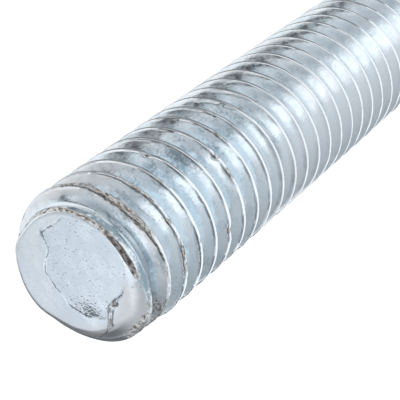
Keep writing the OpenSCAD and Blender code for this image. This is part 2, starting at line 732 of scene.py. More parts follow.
@dataclass(frozen=True)
class ShearedTop:
    """The top end: sheared off, then pressed over, so that its outer ring is folded inwards.

    All curves and spans go around the rod by bearing: degrees clockwise from the front, seen from
    above.

    Attributes:
        rim_low: How far the rim lies below the highest place.
        rim_r: Radius of the face's edge.
        rim_filled: How far the groove just below the rim is pressed full, from 0 to 1.
        rim_torn: How torn the rim is.
        rim_burnt: How black the torn rim is.
        rim_round: Width over which the face rounds over to the rim.
        rim_curved: How the rounding falls, from 1 for a straight bevel to 2 for an even curve.
        rim_painted_shade: How dark the rounding is painted, as shade under the rolled edge.
        painted_shade_edge: How far inside the rim the painted shade of a rounding is pale again and still all
            dark, as shares of the rounding's width.
        rim_ragged: How far the torn rim wanders in and out.
        torn_below: Distances below the rim at which the side is not torn with it, and all torn.
        pressed_below: Distances below the rim between which the pressing of the groove fades.
        sunk: How far the face lies below the rod's top.
        uneven: How far it is from flat.
        rough: Height of its fine grain.
        lap_r: Radius of the edge of the folded ring.
        lap_open: How open the crack at that edge is.
        lap_ragged: How far that edge wanders in and out.
        lap_raise: How far the ring stands up from the face inside it.
        ring_pale: How much paler the ring is than the face inside it.
        flap_r: Radius of the edge of the flap, a second and shorter fold.
        flap_ragged: How far that edge wanders, against the ring's.
        flap_span: Where the flap is.
        flap_raise: How far the flap stands up.
        flap_open: How open the cracks at its edge and along its lip are.
        lip_span: Where the flap has a crumbly lip along its edge.
        lip_wide: Width of the lip.
        lip_high: Height of the lip's crumbs.
        lip_torn: How torn the lip is.
        torn_inside: Distances inside the rim at which the face is not torn with it, and all torn.
        crumbly: Where the rim beside the flap crumbles.
        crumbly_inside: The same distances there.
        burnt_inside: Distances inside the rim at which the face is not burnt with it, and all burnt.
        burr: Where the rim has a bright burr.
        burr_inside: How far inside the rim its middle is.
        burr_wide: Half its width.
        dull: Where the ring beside the flap is dull and warm.
        dull_r: Distances from the rod's middle between which it gets so.
        dull_strong: How dull it is.
        blotch: A dark dent.
        blotch_deep: Its depth.
        dashes: Clusters of torn-out dashes.
        dashes_all_over: How closely the face is set with dashes elsewhere.
        dashes_crowd: How much more closely the clusters are.
        collar: Height of the stretch below the rim that is meshed parallel to it.
    """

    rim_low: Knots = by_bearing(
        (-180, 0.13), (-135, 0.12), (-90, 0.13), (-60, 0.12), (-30, 0.11), (0, 0.10), (18, 0.11),
        (30, 0.14), (38, 0.24), (47, 0.31), (57, 0.32), (65, 0.28), (77, 0.24), (90, 0.26),
        (120, 0.32), (150, 0.24))
    rim_r: Knots = by_bearing(
        (-180, 2.49), (-165, 2.51), (-150, 2.51), (-120, 2.53), (-100, 2.40), (-90, 2.40),
        (-75, 2.42), (-60, 2.44), (-30, 2.41), (0, 2.41), (20, 2.43), (30, 2.51), (38, 2.68),
        (47, 2.82), (57, 2.84), (65, 2.80), (77, 2.66), (90, 2.58), (105, 2.54), (120, 2.50),
        (135, 2.45), (150, 2.43), (165, 2.43))
    rim_filled: Knots = by_bearing((-180, 1.0), (-120, 1.0), (-90, 0.7), (-60, 0.0), (90, 0.0),
                                   (130, 0.7), (160, 0.95))
    rim_torn: Knots = by_bearing(
        (-180, 0.1), (-130, 0.2), (-100, 0.3), (-80, 0.5), (-60, 0.62), (-40, 0.66), (-12, 0.75),
        (-4, 1.0), (18, 1.0), (28, 0.7), (38, 0.35), (52, 0.4), (66, 0.58), (88, 0.52), (104, 0.3),
        (130, 0.1))
    rim_burnt: Knots = by_bearing((-60, 0.05), (-15, 0.15), (-4, 0.5), (3, 0.75), (12, 0.8),
                                  (22, 0.6), (32, 0.1), (150, 0.0))
    rim_round: Knots = by_bearing(
        (-180, 0.22), (-135, 0.13), (-90, 0.15), (-60, 0.16), (-30, 0.13), (10, 0.12), (22, 0.24),
        (34, 0.50), (47, 0.60), (65, 0.60), (90, 0.52), (115, 0.46), (150, 0.36))
    rim_curved: Knots = by_bearing((-180, 1.5), (-135, 2.0), (72, 2.0), (88, 1.1), (125, 1.1),
                                   (150, 1.3))
    # Shade painted dark on the rounding under the rolled edge
    rim_painted_shade: Knots = by_bearing((-180, 0.0), (74, 0.0), (84, 0.35), (94, 0.66), (108, 0.66),
                                    (118, 0.4), (130, 0.0))
    painted_shade_edge: tuple[float, float] = (0.72, 0.60)
    rim_ragged: float = 0.03
    torn_below: tuple[float, float] = (0.14, 0.09)
    pressed_below: tuple[float, float] = (0.02, 0.45)
    sunk: float = 0.055
    uneven: float = 0.007
    rough: float = 0.0025
    lap_r: Knots = by_bearing(
        (80, 1.78), (95, 1.70), (102, 1.62), (110, 1.51), (120, 1.45), (135, 1.31), (147, 1.25),
        (160, 1.12), (172, 1.04), (185, 1.08), (202, 1.13), (221, 1.24), (241, 1.24), (258, 1.27),
        (266, 1.42), (272, 1.80), (280, 1.88), (295, 1.96), (304, 2.16), (330, 2.40), (400, 2.40))
    lap_open: Knots = by_bearing(
        (88, 0.0), (101, 0.7), (112, 1.0), (132, 0.9), (148, 0.8), (158, 0.15), (170, 0.1),
        (180, 0.6), (200, 0.8), (208, 0.3), (218, 0.9), (232, 0.8), (244, 1.0), (258, 0.7),
        (266, 0.5), (273, 1.0), (282, 0.8), (296, 0.7), (306, 0.2), (315, 0.0))
    lap_ragged: float = 0.05
    lap_raise: Knots = by_bearing((86, 0.0), (104, 0.015), (150, 0.015), (165, 0.01), (240, 0.015),
                                  (290, 0.015), (318, 0.0), (340, 0.0), (400, 0.0))
    ring_pale: Knots = by_bearing((-180, 0.15), (-140, 0.4), (-100, 0.7), (-60, 0.4), (-30, 0.0),
                                  (145, 0.0))
    flap_r: Knots = Knots((
        (40.0, 2.02), (49.0, 1.89), (59.0, 1.67), (72.0, 1.54), (82.0, 1.61), (90.0, 1.82),
        (98.0, 2.03), (104.0, 2.19), (112.0, 2.32), (120.0, 2.40)))
    flap_ragged: float = 0.6
    flap_span: Span = Span(38.0, 50.0, 117.0, 123.0)
    flap_raise: Knots = Knots(((38.0, 0.0), (52.0, 0.03), (75.0, 0.05), (100.0, 0.04), (118.0, 0.0)))
    flap_open: float = 0.9
    lip_span: Span = Span(50.0, 68.0, 88.0, 106.0)
    lip_wide: float = 0.24
    lip_high: float = 0.03
    lip_torn: float = 0.5
    torn_inside: tuple[float, float] = (0.07, 0.01)
    crumbly: Span = Span(48.0, 64.0, 100.0, 115.0)
    crumbly_inside: tuple[float, float] = (0.24, 0.04)
    burnt_inside: tuple[float, float] = (0.07, 0.02)
    burr: Span = Span(-16.0, 4.0, 20.0, 32.0)
    burr_inside: float = 0.05
    burr_wide: float = 0.035
    dull: Span = Span(22.0, 50.0, 118.0, 150.0)
    dull_r: tuple[float, float] = (1.7, 2.1)
    dull_strong: float = 0.8
    blotch: Cluster = Cluster(1.84, -0.08, 0.10)
    blotch_deep: float = 0.02
    dashes: tuple[Cluster, Cluster] = (Cluster(-1.36, 0.50, 0.36, stretch=1.5, strong=2.1),
                                       Cluster(-0.75, 0.85, 0.3, strong=0.6))
    dashes_all_over: float = 0.52
    dashes_crowd: float = 0.80
    collar: float = 0.25

    def at_rim(self, below: np.ndarray) -> np.ndarray:
        """How much of the torn rim a place at a depth below it belongs to, from 0 to 1."""
        return smooth_step(*self.torn_below, below)

    def hold(self, spots: Spots, r: np.ndarray) -> np.ndarray:
        """Presses the thread just below the rim to the rim's shape.

        Args:
            spots: The places.
            r: Distance of the thread's surface from the rod's middle.

        Returns:
            That distance with the groove filled and the edge bevelled.
        """
        rim = self.rim_r.at(spots.way)
        ragged = self.rim_ragged * self.rim_torn.share(spots.way) * spots.fine
        bevel = rim + spots.below + ragged * smooth_step(0.0, 0.05, spots.below)
        ledge = rim - smooth_step(*self.pressed_below, spots.below) + self.rim_filled.at(spots.way) - 1.0
        return np.minimum(np.maximum(r, ledge), bevel)

    def spots(self, x: np.ndarray, y: np.ndarray, inside: np.ndarray) -> FaceSpots:
        """Measures places on the end face.

        Args:
            x: Places across the rod.
            y: Places along the other way across.
            inside: How far inside the rim each place is.

        Returns:
            The places.
        """
        place = np.stack([x, y, np.zeros_like(x)], axis=-1)
        r = np.hypot(x, y)
        way = np.degrees(np.arctan2(-x, -y))
        ragged = self.lap_ragged * layered_noise(place, size=0.35, layers=3, seed=24)
        lap = self.edge_distance(self.lap_r, way, r) + ragged
        flap = r - self.flap_r.at(way) + self.flap_ragged * ragged
        broken = smooth_step(-0.55, 0.15, layered_noise(place, size=0.3, layers=2, seed=31))
        return FaceSpots(place, inside, lap, flap, broken)

    def edge_distance(self, edge: Knots, way: np.ndarray, r: np.ndarray) -> np.ndarray:
        """Distance outside a curve that is given by its radius.

        Args:
            edge: The curve, by bearing.
            way: Bearings of the places.
            r: Their distances from the rod's middle.

        Returns:
            About how far outside the curve each place is.
        """
        here = edge.at(way)
        lean = (edge.at(way + 1.0) - edge.at(way - 1.0)) / math.radians(2.0)
        return (r - here) / np.sqrt(1.0 + (lean / here) ** 2)

    def width_of_lip(self, spots: FaceSpots) -> np.ndarray:
        """Width of the lip at the bearings of the places."""
        return self.lip_wide * self.lip_span.at(spots.way)

    def lip(self, spots: FaceSpots) -> np.ndarray:
        """How much of the flap's lip each place is, from 0 to 1."""
        inner_side = smooth_step(0.0, 0.04, spots.flap)
        return inner_side * smooth_step(0.0, 0.04, self.width_of_lip(spots) - spots.flap)

    def blotched(self, spots: FaceSpots) -> np.ndarray:
        """How much of the dark dent each place is, from 0 to 1."""
        x, y = spots.place[..., 0], spots.place[..., 1]
        return self.blotch.at(x, y) * smooth_step(-0.5, 0.3, noise(spots.place, size=0.1, seed=33))

    def relief(self, spots: FaceSpots) -> np.ndarray:
        """Height of the face.

        Args:
            spots: The places.

        Returns:
            Height against the rod's top.
        """
        uneven = self.uneven * layered_noise(spots.place, size=1.3, layers=2, seed=21)
        level = -self.sunk + uneven + self.rough * noise(spots.place, size=0.3, seed=23)
        ring = np.clip(self.lap_raise.at(spots.way), 0.0, None) * smooth_step(-0.03, 0.05, spots.lap)
        flap = self.flap_raise.at(spots.way) * smooth_step(-0.02, 0.05, spots.flap)
        crumbs = 0.6 + layered_noise(spots.place, size=0.12, layers=2, seed=35)
        crumbs = crumbs * self.lip_high * self.lip(spots)
        dent = self.blotch_deep * self.blotched(spots)
        return level + ring + flap * self.flap_span.at(spots.way) + crumbs - dent

    def rolled(self, spots: FaceSpots) -> np.ndarray:
        """Where the metal of the folded ring and the flap is.

        Args:
            spots: The places.

        Returns:
            From 0 beside it to 1 on it.
        """
        on_ring = smooth_step(-0.05, 0.1, spots.lap)
        on_ring = on_ring * smooth_step(0.003, 0.012, self.lap_raise.at(spots.way))
        return np.maximum(on_ring, smooth_step(0.0, 0.1, spots.flap) * self.flap_span.at(spots.way))

    def stained_and_shaded(self, spots: FaceSpots) -> np.ndarray:
        """Where shade is painted dark on the rounding beside the rim, under the rolled edge.

        Args:
            spots: The places.

        Returns:
            How dark each place is, from 0 to 1.
        """
        wide = self.rim_round.at(spots.way)
        # Shade painted on the rounding, weaker right at the rim
        stain_and_shade = self.rim_painted_shade.share(spots.way) * (0.6 + 0.4 * smooth_step(0.0, 0.12, spots.inside))
        pale_from, dark_to = (share * wide for share in self.painted_shade_edge)
        return stain_and_shade * smooth_step(pale_from, dark_to, spots.inside)

    def crowd(self, spots: FaceSpots) -> np.ndarray:
        """How closely the face is set with torn-out dashes, from about 0.5 to 2."""
        lower, left = (cluster.at(spots.place[..., 0], spots.place[..., 1]) for cluster in self.dashes)
        return self.dashes_all_over + self.dashes_crowd * np.maximum(lower, left)

    def masks(self, spots: FaceSpots) -> Masks:
        """Where each look of the face is.

        Args:
            spots: The places.

        Returns:
            The point masks.
        """
        way, inside = spots.way, spots.inside
        near_rim = np.maximum(smooth_step(*self.torn_inside, inside),
                              self.crumbly.at(way) * smooth_step(*self.crumbly_inside, inside))
        rolled = self.rolled(spots)
        burr = self.burr.at(way) * hump(inside - self.burr_inside, self.burr_wide)
        ring_pale = self.ring_pale.share(way) * smooth_step(0.0, 0.25, spots.lap)
        flap_there = self.flap_span.at(way)
        lip_wide = self.width_of_lip(spots)
        return {
            "torn": np.maximum(self.rim_torn.share(way) * near_rim, self.lip_torn * self.lip(spots)),
            # A dark dent, and the shade painted on the rounding under the rolled edge
            "dark": np.maximum(self.blotched(spots), self.stained_and_shaded(spots)),
            "burnt": self.rim_burnt.share(way) * near_rim * smooth_step(*self.burnt_inside, inside),
            "bare_and_painted_sheen": np.maximum(burr, ring_pale),
            "rolled": rolled,
            "specked": self.crowd(spots) * (1.0 - rolled),
            "mottled": np.zeros_like(inside),
            "hazy": self.dull_strong * self.dull.at(way) * smooth_step(*self.dull_r, spots.r),
            "gap_a": spots.lap,
            "gap_b": np.where(flap_there > 0.0, spots.flap, 1.0),
            "gap_c": spots.flap - lip_wide,
            "open_a": self.lap_open.share(way) * spots.broken,
            "open_b": self.flap_open * flap_there * spots.broken,
            "open_c": self.flap_open * smooth_step(0.04, 0.14, lip_wide) * spots.broken,
        }


# ---------------------------------------------------------------- the rod


class Area(Enum):
    """The areas of the rod's surface that have a finish of their own."""

    THREAD = 0
    TOP_FACE = 1
    FOOT_FACE = 2


@dataclass
class Skin:
    """Points, point masks and faces of a mesh that is being built.

    Attributes:
        blocks: The points, in the blocks in which they were added.
        masks: The point masks of each block.
        faces: Numbers of the points of each face.
        finishes: Number of the finish of each face.
        count: How many points there are.
    """

    blocks: list[np.ndarray] = field(default_factory=list)
    masks: list[Masks] = field(default_factory=list)
    faces: list[list[int]] = field(default_factory=list)
    finishes: list[int] = field(default_factory=list)
    count: int = 0

    def add_points(self, places: np.ndarray, masks: Masks) -> np.ndarray:
        """Adds points.

        Args:
            places: The points, three numbers to a row.
            masks: The value of each mask at each of them.

        Returns:
            The numbers that they have got.
        """
        self.blocks.append(places)
        self.masks.append(masks)
        self.count += len(places)
        return np.arange(self.count - len(places), self.count)

    def add_face(self, corners: list[int], area: Area) -> None:
        """Adds a face, unless too few different corners are left of it.

        Args:
            corners: Numbers of its points, in order.
            area: The area that it belongs to.
        """
        kept = [int(c) for k, c in enumerate(corners) if c != corners[k - 1]]
        if len(set(kept)) > 2:
            self.faces.append(kept)
            self.finishes.append(area.value)

    def make(self, name: str) -> bpy.types.Object:
        """Turns what was added into an object.

        Args:
            name: The object's name.

        Returns:
            The object, in the scene, in metres.
        """
        used = np.unique(np.concatenate([np.array(f) for f in self.faces]))
        number = np.full(self.count, -1)
        number[used] = np.arange(len(used))
        places = np.concatenate(self.blocks)[used] * MM
        mesh = bpy.data.meshes.new(name)
        mesh.from_pydata(places.tolist(), [], [number[f].tolist() for f in self.faces])
        mesh.polygons.foreach_set("material_index", self.finishes)
        mesh.polygons.foreach_set("use_smooth", [True] * len(self.faces))
        for mask in self.masks[0]:
            values = np.concatenate([m[mask] for m in self.masks])[used]
            attribute = mesh.attributes.new(mask, "FLOAT", "POINT")
            attribute.data.foreach_set("value", values.astype(np.float32))
        mesh.update()
        made = bpy.data.objects.new(name, mesh)
        bpy.context.scene.collection.objects.link(made)
        return made


# Rows of the finest mesh, as shares of the pitch above a crest, and its columns in a turn
ROWS = (-0.5, -0.44, -0.375, -0.29, -0.2, -0.12, -0.08, -0.06, -0.04, -0.02, 0.0, 0.02, 0.04,
        0.06, 0.08, 0.12, 0.17, 0.23, 0.29, 0.35, 0.40, 0.45)
COLUMNS = 384
# Turns by which the mesh of the thread goes past each end, where the collar and the foot cut it off
TURNS_PAST_END = 2
# The collar's rings, and those of the end face, which lie closer together near the rim
COLLAR_RINGS = 10
FINE_RINGS = 8
FINE_INSET = 0.22
RINGS = 46
LAST_INSET = 2.30
# About the end face's radius, the radius at which a ring is too small for the finest columns, and
# the fewest columns that a ring has
FACE_R = 2.4
SMALL_RING = 1.0
FEWEST_COLUMNS = 24


class Fineness(Enum):
    """Numbers of the finest rows that a stretch of thread keeps."""

    FINEST = tuple(range(len(ROWS)))
    NEAR = tuple(k for k in range(len(ROWS)) if k not in (2, 9, 11, 17))
    MIDDLE = (0, 1, 3, 6, 7, 10, 13, 14, 16, 18, 20, 21)
    FAR = (0, 1, 3, 7, 13, 18, 20)


@dataclass(frozen=True)
class Stretch:
    """A length of thread with a mesh of one fineness.

    Attributes:
        low: Turn at which it starts.
        step: How many of the finest columns one of its columns spans.
        rows: The rows that it keeps.
    """

    low: float
    step: int
    rows: Fineness


@dataclass
class ThreadedRod:
    """The rod: its sizes, its mesh and its finishes.

    Attributes:
        form: The thread.
        wear: What has happened to its crests.
        top: The sheared end.
        foot_r: Radius of the foot's flat face, inside its bevel.
        sharp: Angle from which an edge of the mesh stays sharp, in degrees.
    """

    form: ThreadForm
    wear: CrestWear = CrestWear()
    top: ShearedTop = ShearedTop()
    foot_r: float = 2.52
    sharp: float = 52.0

    def rim_z(self, turn: np.ndarray) -> np.ndarray:
        """Height of the rim of the top face."""
        return self.form.length - self.top.rim_low.at(bearing(turn))

    def spots(self, turn: np.ndarray, z: np.ndarray) -> Spots:
        """Finds where places around the rod lie on the thread.

        Args:
            turn: Their directions from the rod's middle, as turns from the X axis.
            z: Their heights above the foot.

        Returns:
            The places.
        """
        above = (z - self.form.crest_z(turn)) / self.form.pitch
        nearest = np.round(above)
        place = around(turn, self.form.crest_r, z)
        fine = layered_noise(place, size=0.16, layers=3, seed=51)
        slow = layered_noise(place, size=0.9, layers=2, seed=55)
        return Spots(turn, z, turn + nearest, above - nearest, self.rim_z(turn) - z, fine, slow)

    def worn_crest(self, spots: Spots) -> WornCrest:
        """Crops, tears and folds the crest.

        Args:
            spots: The places.

        Returns:
            What is left of the crest there.
        """
        wear, crest_r = self.wear, self.form.crest_r
        lost, torn = wear.crop(spots)
        depth = self.form.depth(wear.groove_share(spots))
        r = crest_r - depth + wear.wavy * spots.slow
        limit = crest_r - wear.limit(spots, lost, torn)
        land = smooth_step(-wear.land_edge, 0.0, r - limit)
        folded = wear.fold.mask(spots, lost, torn) * wear.worn(spots)
        r = np.minimum(r, limit) - (wear.fold.deep + wear.fold.torn_deep * torn) * folded
        return WornCrest(r + wear.flank_step(spots), depth, lost, torn, folded, land)

    def side(self, turn: np.ndarray, z: np.ndarray) -> tuple[np.ndarray, Masks]:
        """The surface around the rod.

        Args:
            turn: Direction from the rod's middle, as turns from the X axis.
            z: Height above the foot.

        Returns:
            Places on the surface, three numbers to a row, and the point masks.
        """
        spots = self.spots(turn, z)
        crest = self.worn_crest(spots)
        r = np.minimum(self.top.hold(spots, crest.r), self.foot_r + z)
        return around(turn, r, z), self.side_masks(spots, crest)

    def side_masks(self, spots: Spots, crest: WornCrest) -> Masks:
        """Where each look of the thread is.

        Args:
            spots: The places.
            crest: What is left of the crest there.

        Returns:
            The point masks.
        """
        wear, way = self.wear, spots.way
        at_rim = self.top.at_rim(spots.below)
        ridge, soiled = wear.bright_ridge(spots), wear.soiled(spots)
        torn = crest.land * crest.torn * smooth_step(-0.30, -0.50, spots.crest) * (1.0 - 0.8 * ridge)
        torn = np.maximum(torn, crest.folded * (0.35 + 0.65 * crest.torn))
        torn = torn * smooth_step(-0.6, 0.1, spots.fine + crest.torn - 0.4)
        torn = np.maximum(torn, self.top.rim_torn.share(way) * at_rim)
        edge_line = crest.folded * (1.0 - 0.4 * crest.torn) * wear.line_dark.at(way)
        low_share, low_wide = wear.low_line
        low_flank = wear.low_dark * wear.flank_line.at(spots.crest) * hump(spots.share - low_share, low_wide)
        soil = wear.soil_dark * soiled * (1.0 + spots.fine)
        # Dark lines and soil of the thread, and the painted dark reflections
        dark = edge_line + low_flank + wear.painted_reflections.mask(spots) + soil
        burnt = np.maximum(self.top.rim_burnt.share(way) * at_rim, 0.7 * wear.chipped(spots))
        bare = (1.0 - 0.7 * crest.torn) * (1.0 - crest.folded) * smooth_step(0.15, 0.05, crest.lost)
        # Sheen painted as paler plating on the far turns and above the dark reflections
        far = wear.painted_far_sheen.at(way) * smooth_step(*wear.far_sheen_turns, spots.crest)
        pale = np.maximum(far, 0.8 * wear.painted_reflections.pale(spots))
        return {
            "torn": np.maximum(torn, wear.soil_torn * soiled),
            "dark": np.clip(dark, 0.0, 1.0),
            "burnt": np.clip(burnt, 0.0, 1.0),
            "bare_and_painted_sheen": np.maximum(crest.land * np.maximum(bare, ridge), pale),
            "rolled": smooth_step(0.5, 0.2, crest.depth),
            "specked": 0.30 * smooth_step(0.1, 0.5, crest.depth),
            "hazy": wear.haze(spots),
            **{"gap_" + edge: np.ones_like(spots.z) for edge in CRACKED_EDGES},
            **{"open_" + edge: np.zeros_like(spots.z) for edge in CRACKED_EDGES},
            "mottled": wear.mottle(spots),
        }

    def build(self) -> bpy.types.Object:
        """Makes the whole skin.

        Returns:
            The rod's object.
        """
        skin = Skin()
        collar = self.add_collar(skin)
        foot = self.add_thread(skin, collar[0])
        self.add_top_face(skin, collar[-1])
        self.add_foot_face(skin, foot)
        rod = skin.make("threaded_rod")
        rod.data.set_sharp_from_angle(angle=math.radians(self.sharp))
        return rod

    def add_collar(self, skin: Skin) -> list[np.ndarray]:
        """Meshes the stretch below the rim in rings parallel to it.

        Args:
            skin: The mesh that is being built.

        Returns:
            Numbers of the points of each ring, lowest first.
        """
        turn = np.arange(COLUMNS) / COLUMNS
        heights = np.linspace(-self.top.collar, 0.0, COLLAR_RINGS)
        rings = [skin.add_points(*self.side(turn, self.rim_z(turn) + height)) for height in heights]
        for low, high in zip(rings, rings[1:]):
            for i in range(COLUMNS):
                skin.add_face([low[i - 1], low[i], high[i], high[i - 1]], Area.THREAD)
        return rings

    def stretches(self) -> list[tuple[Stretch, range]]:
        """Splits the thread into stretches, the finer the nearer they are to the top end.

        Returns:
            Each stretch with its columns, lowest first.
        """
        lowest = math.floor(-self.form.length / self.form.pitch) - TURNS_PAST_END
        parts = (Stretch(low=lowest, step=8, rows=Fineness.FAR),
                 Stretch(low=-24, step=4, rows=Fineness.MIDDLE),
                 Stretch(low=-9, step=2, rows=Fineness.NEAR),
                 Stretch(low=-3.5, step=1, rows=Fineness.FINEST))
        ends = [part.low for part in parts[1:]] + [TURNS_PAST_END]
        return [(part, range(int(part.low * COLUMNS), int(end * COLUMNS), part.step))
                for part, end in zip(parts, ends)]

    def add_thread_points(self, skin: Skin, top_ring: np.ndarray) -> tuple[
            dict[tuple[int, int], int], dict[int, int]]:
        """Adds the points of the thread, which end at the foot and at the collar.

        Args:
            skin: The mesh that is being built.
            top_ring: Numbers of the collar's lowest ring of points.

        Returns:
            Number of the point at each column and row, and of the one on the foot at each column.
        """
        keys = [(i, j) for part, span in self.stretches() for i in span for j in part.rows.value]
        keys += [(TURNS_PAST_END * COLUMNS, j) for j in Fineness.FINEST.value]
        turn = np.array([i for i, _ in keys]) / COLUMNS
        z = self.form.crest_z(turn) + np.array([ROWS[j] for _, j in keys]) * self.form.pitch
        collar_z = self.rim_z(turn) - self.top.collar
        numbers = skin.add_points(*self.side(turn, np.clip(z, 0.0, collar_z)))
        points, foot = {}, {}
        for key, number, height, limit in zip(keys, numbers, z, collar_z):
            column = key[0] % COLUMNS
            if height >= limit:
                number = top_ring[column]
            elif height <= 0.0:
                number = foot.setdefault(column, number)
            points[key] = number
        return points, foot

    def add_thread(self, skin: Skin, top_ring: np.ndarray) -> np.ndarray:
        """Meshes the thread from the foot to the collar.

        Args:
            skin: The mesh that is being built.
            top_ring: Numbers of the collar's lowest ring of points.

        Returns:
            Numbers of the points around the foot.
        """
        points, foot = self.add_thread_points(skin, top_ring)

        def corner(i: int, j: int) -> int | None:
            """Number of a point, where the row after the last is the next turn's first."""
            return points.get((i + COLUMNS, 0) if j == len(ROWS) else (i, j))

        for part, span in self.stretches():
            rows = part.rows.value
            for i in span:
                if i > (TURNS_PAST_END - 1) * COLUMNS:
                    continue
                right = i + part.step
                for low, high in zip(rows, rows[1:] + (len(ROWS),)):
                    corners = [corner(i, low), corner(right, low)]
                    corners += [points[right, j] for j in range(low + 1, high) if (right, j) in points]
                    back = [corner(k, high) for k in range(right, i - 1, -1)]
                    skin.add_face(corners + [c for c in back if c is not None], Area.THREAD)
        return np.array([foot[k] for k in sorted(foot)])

    def add_top_face(self, skin: Skin, rim: np.ndarray) -> None:
        """Meshes the sheared face in rings that shrink from the rim to the middle.

        Args:
            skin: The mesh that is being built.
            rim: Numbers of the points of the rim.
        """
        turn = np.arange(COLUMNS) / COLUMNS
        edge, _ = self.side(turn, self.rim_z(turn))
        edge_r = np.hypot(edge[:, 0], edge[:, 1])
        edge_relief = self.top.relief(self.top.spots(edge[:, 0], edge[:, 1], np.zeros(COLUMNS)))
        sink = edge_relief + self.form.length - edge[:, 2]
        wide = self.top.rim_round.at(bearing(turn))
        curved = self.top.rim_curved.at(bearing(turn))
        ring, step = rim, 1
        insets = np.concatenate([np.linspace(0.0, FINE_INSET, FINE_RINGS + 1)[1:],
                                 np.linspace(FINE_INSET, LAST_INSET, RINGS + 1)[1:]])
        for inset in insets:
            # Where the columns have come close together, every other one ends
            close = (FACE_R - inset) * step < SMALL_RING and COLUMNS // step > FEWEST_COLUMNS
            ratio = 2 if close else 1
            step *= ratio
            pick = slice(None, None, step)
            shrink = 1.0 - inset / edge_r[pick]
            x, y = edge[pick, 0] * shrink, edge[pick, 1] * shrink
            spots = self.top.spots(x, y, np.full(len(x), inset))
            fall = np.clip(1.0 - inset / wide[pick], 0.0, None) ** curved[pick]
            z = self.form.length + self.top.relief(spots) - sink[pick] * fall
            new = skin.add_points(np.stack([x, y, z], axis=-1), self.top.masks(spots))
            for k in range(len(new)):
                outer = [ring[(k * ratio + n) % len(ring)] for n in range(ratio + 1)]
                skin.add_face(outer + [new[(k + 1) % len(new)], new[k]], Area.TOP_FACE)
            ring = new
        skin.add_face(list(ring), Area.TOP_FACE)

    def add_foot_face(self, skin: Skin, rim: np.ndarray) -> None:
        """Closes the foot with its flat face."""
        skin.add_face(list(rim[::-1]), Area.FOOT_FACE)

    def dress(self, rod: bpy.types.Object, finishes: dict[Area, bpy.types.Material]) -> None:
        """Gives each area of the rod its finish."""
        for area in Area:
            rod.data.materials.append(finishes[area])


# ---------------------------------------------------------------- shader nodes


class Graph:
    """A shader node tree, with short ways to add nodes and feed them."""

    def __init__(self, tree: bpy.types.NodeTree) -> None:
        """Starts on a tree, which it empties."""
        self.tree = tree
        tree.nodes.clear()

    def add(self, kind: str, feeds: dict | None = None, **settings: object) -> bpy.types.Node:
        """Adds a node.

        Args:
            kind: The node's type.
            feeds: What goes into its inputs, by name or number: a socket, a number or a colour.
            settings: The node's own settings.

        Returns:
            The node.
        """
        node = self.tree.nodes.new(kind)
        for name, value in settings.items():
            setattr(node, name, value)
        self.feed(node, feeds or {})
        return node

    def feed(self, node: bpy.types.Node, feeds: dict) -> None:
        """Feeds a node's inputs.

        Args:
            node: The node.
            feeds: A socket, a number or a colour for each input, by name or number.
        """
        for key, feed in feeds.items():
            if isinstance(feed, bpy.types.NodeSocket):
                self.tree.links.new(feed, node.inputs[key])
            else:
                node.inputs[key].default_value = feed

    def math(self, operation: str, first: Feed, second: Feed = 0.0, clamp: bool = False) -> Feed:
        """Adds a Math node.

        Args:
            operation: What it does with its two inputs.
            first: Its first input.
            second: Its second input.
            clamp: Whether the result is kept from 0 to 1.

        Returns:
            Its result.
        """
        feeds = {0: first, 1: second}
        return self.add("ShaderNodeMath", feeds, operation=operation, use_clamp=clamp).outputs[0]

    def vector(self, operation: str, first: Feed, by: Feed) -> Feed:
        """Adds a Vector Math node.

        Args:
            operation: What it does.
            first: The vector.
            by: The other vector, or a number to scale by.

        Returns:
            Its result.
        """
        feeds = {0: first, "Scale" if operation == "SCALE" else 1: by}
        return self.add("ShaderNodeVectorMath", feeds, operation=operation).outputs[0]

    def between(self, value: Feed, low: float, high: float, first: float = 0.0,
                last: float = 1.0) -> Feed:
        """Adds a smooth step of a value.

        Args:
            value: The value.
            low: Where the step begins.
            high: Where it ends.
            first: The result up to its beginning.
            last: The result from its end on.

        Returns:
            Its result.
        """
        feeds = {"Value": value, "From Min": low, "From Max": high, "To Min": first, "To Max": last}
        return self.add("ShaderNodeMapRange", feeds, interpolation_type="SMOOTHSTEP").outputs[0]

    def mix(self, share: Feed, first: Feed, second: Feed) -> Feed:
        """Adds a mix of two colours.

        Args:
            share: How much there is of the second.
            first: One colour.
            second: The other colour.

        Returns:
            The mixed colour.
        """
        return self.add("ShaderNodeMix", {0: share, 6: first, 7: second}, data_type="RGBA").outputs[2]

    def noise(self, place: Feed, size: float, detail: float = 2.0, rough: float = 0.5) -> Feed:
        """Adds a noise.

        Args:
            place: Where it is read.
            size: How far apart its bumps are.
            detail: How many finer noises lie over it.
            rough: How strong those are.

        Returns:
            Its value, from about 0 to 1.
        """
        feeds = {"Vector": place, "Scale": 1.0 / size, "Detail": detail, "Roughness": rough}
        return self.add("ShaderNodeTexNoise", feeds).outputs["Fac"]

    def ramp(self, value: Feed, stops: Stops) -> Feed:
        """Adds a colour ramp.

        Args:
            value: Where it is read.
            stops: Place and colour of each of its stops.

        Returns:
            Its colour.
        """
        node = self.add("ShaderNodeValToRGB", {0: value})
        marks = node.color_ramp.elements
        while len(marks) < len(stops):
            marks.new(0.5)
        for mark, (place, colour) in zip(marks, stops):
            mark.position = place
            mark.color = (*colour, 1.0)
        return node.outputs[0]

    def mask(self, name: str) -> Feed:
        """Adds a reader of a point mask and returns its value."""
        return self.add("ShaderNodeAttribute", attribute_name=name).outputs["Fac"]

    def group(self, effect: bpy.types.NodeTree, feeds: dict) -> bpy.types.bpy_prop_collection:
        """Places an effect's node group.

        Args:
            effect: The group.
            feeds: What goes into its inputs, by name.

        Returns:
            Its outputs.
        """
        node = self.add("ShaderNodeGroup", node_tree=effect)
        self.feed(node, feeds)
        return node.outputs


# Roughness of paper and card
MATT = 0.9


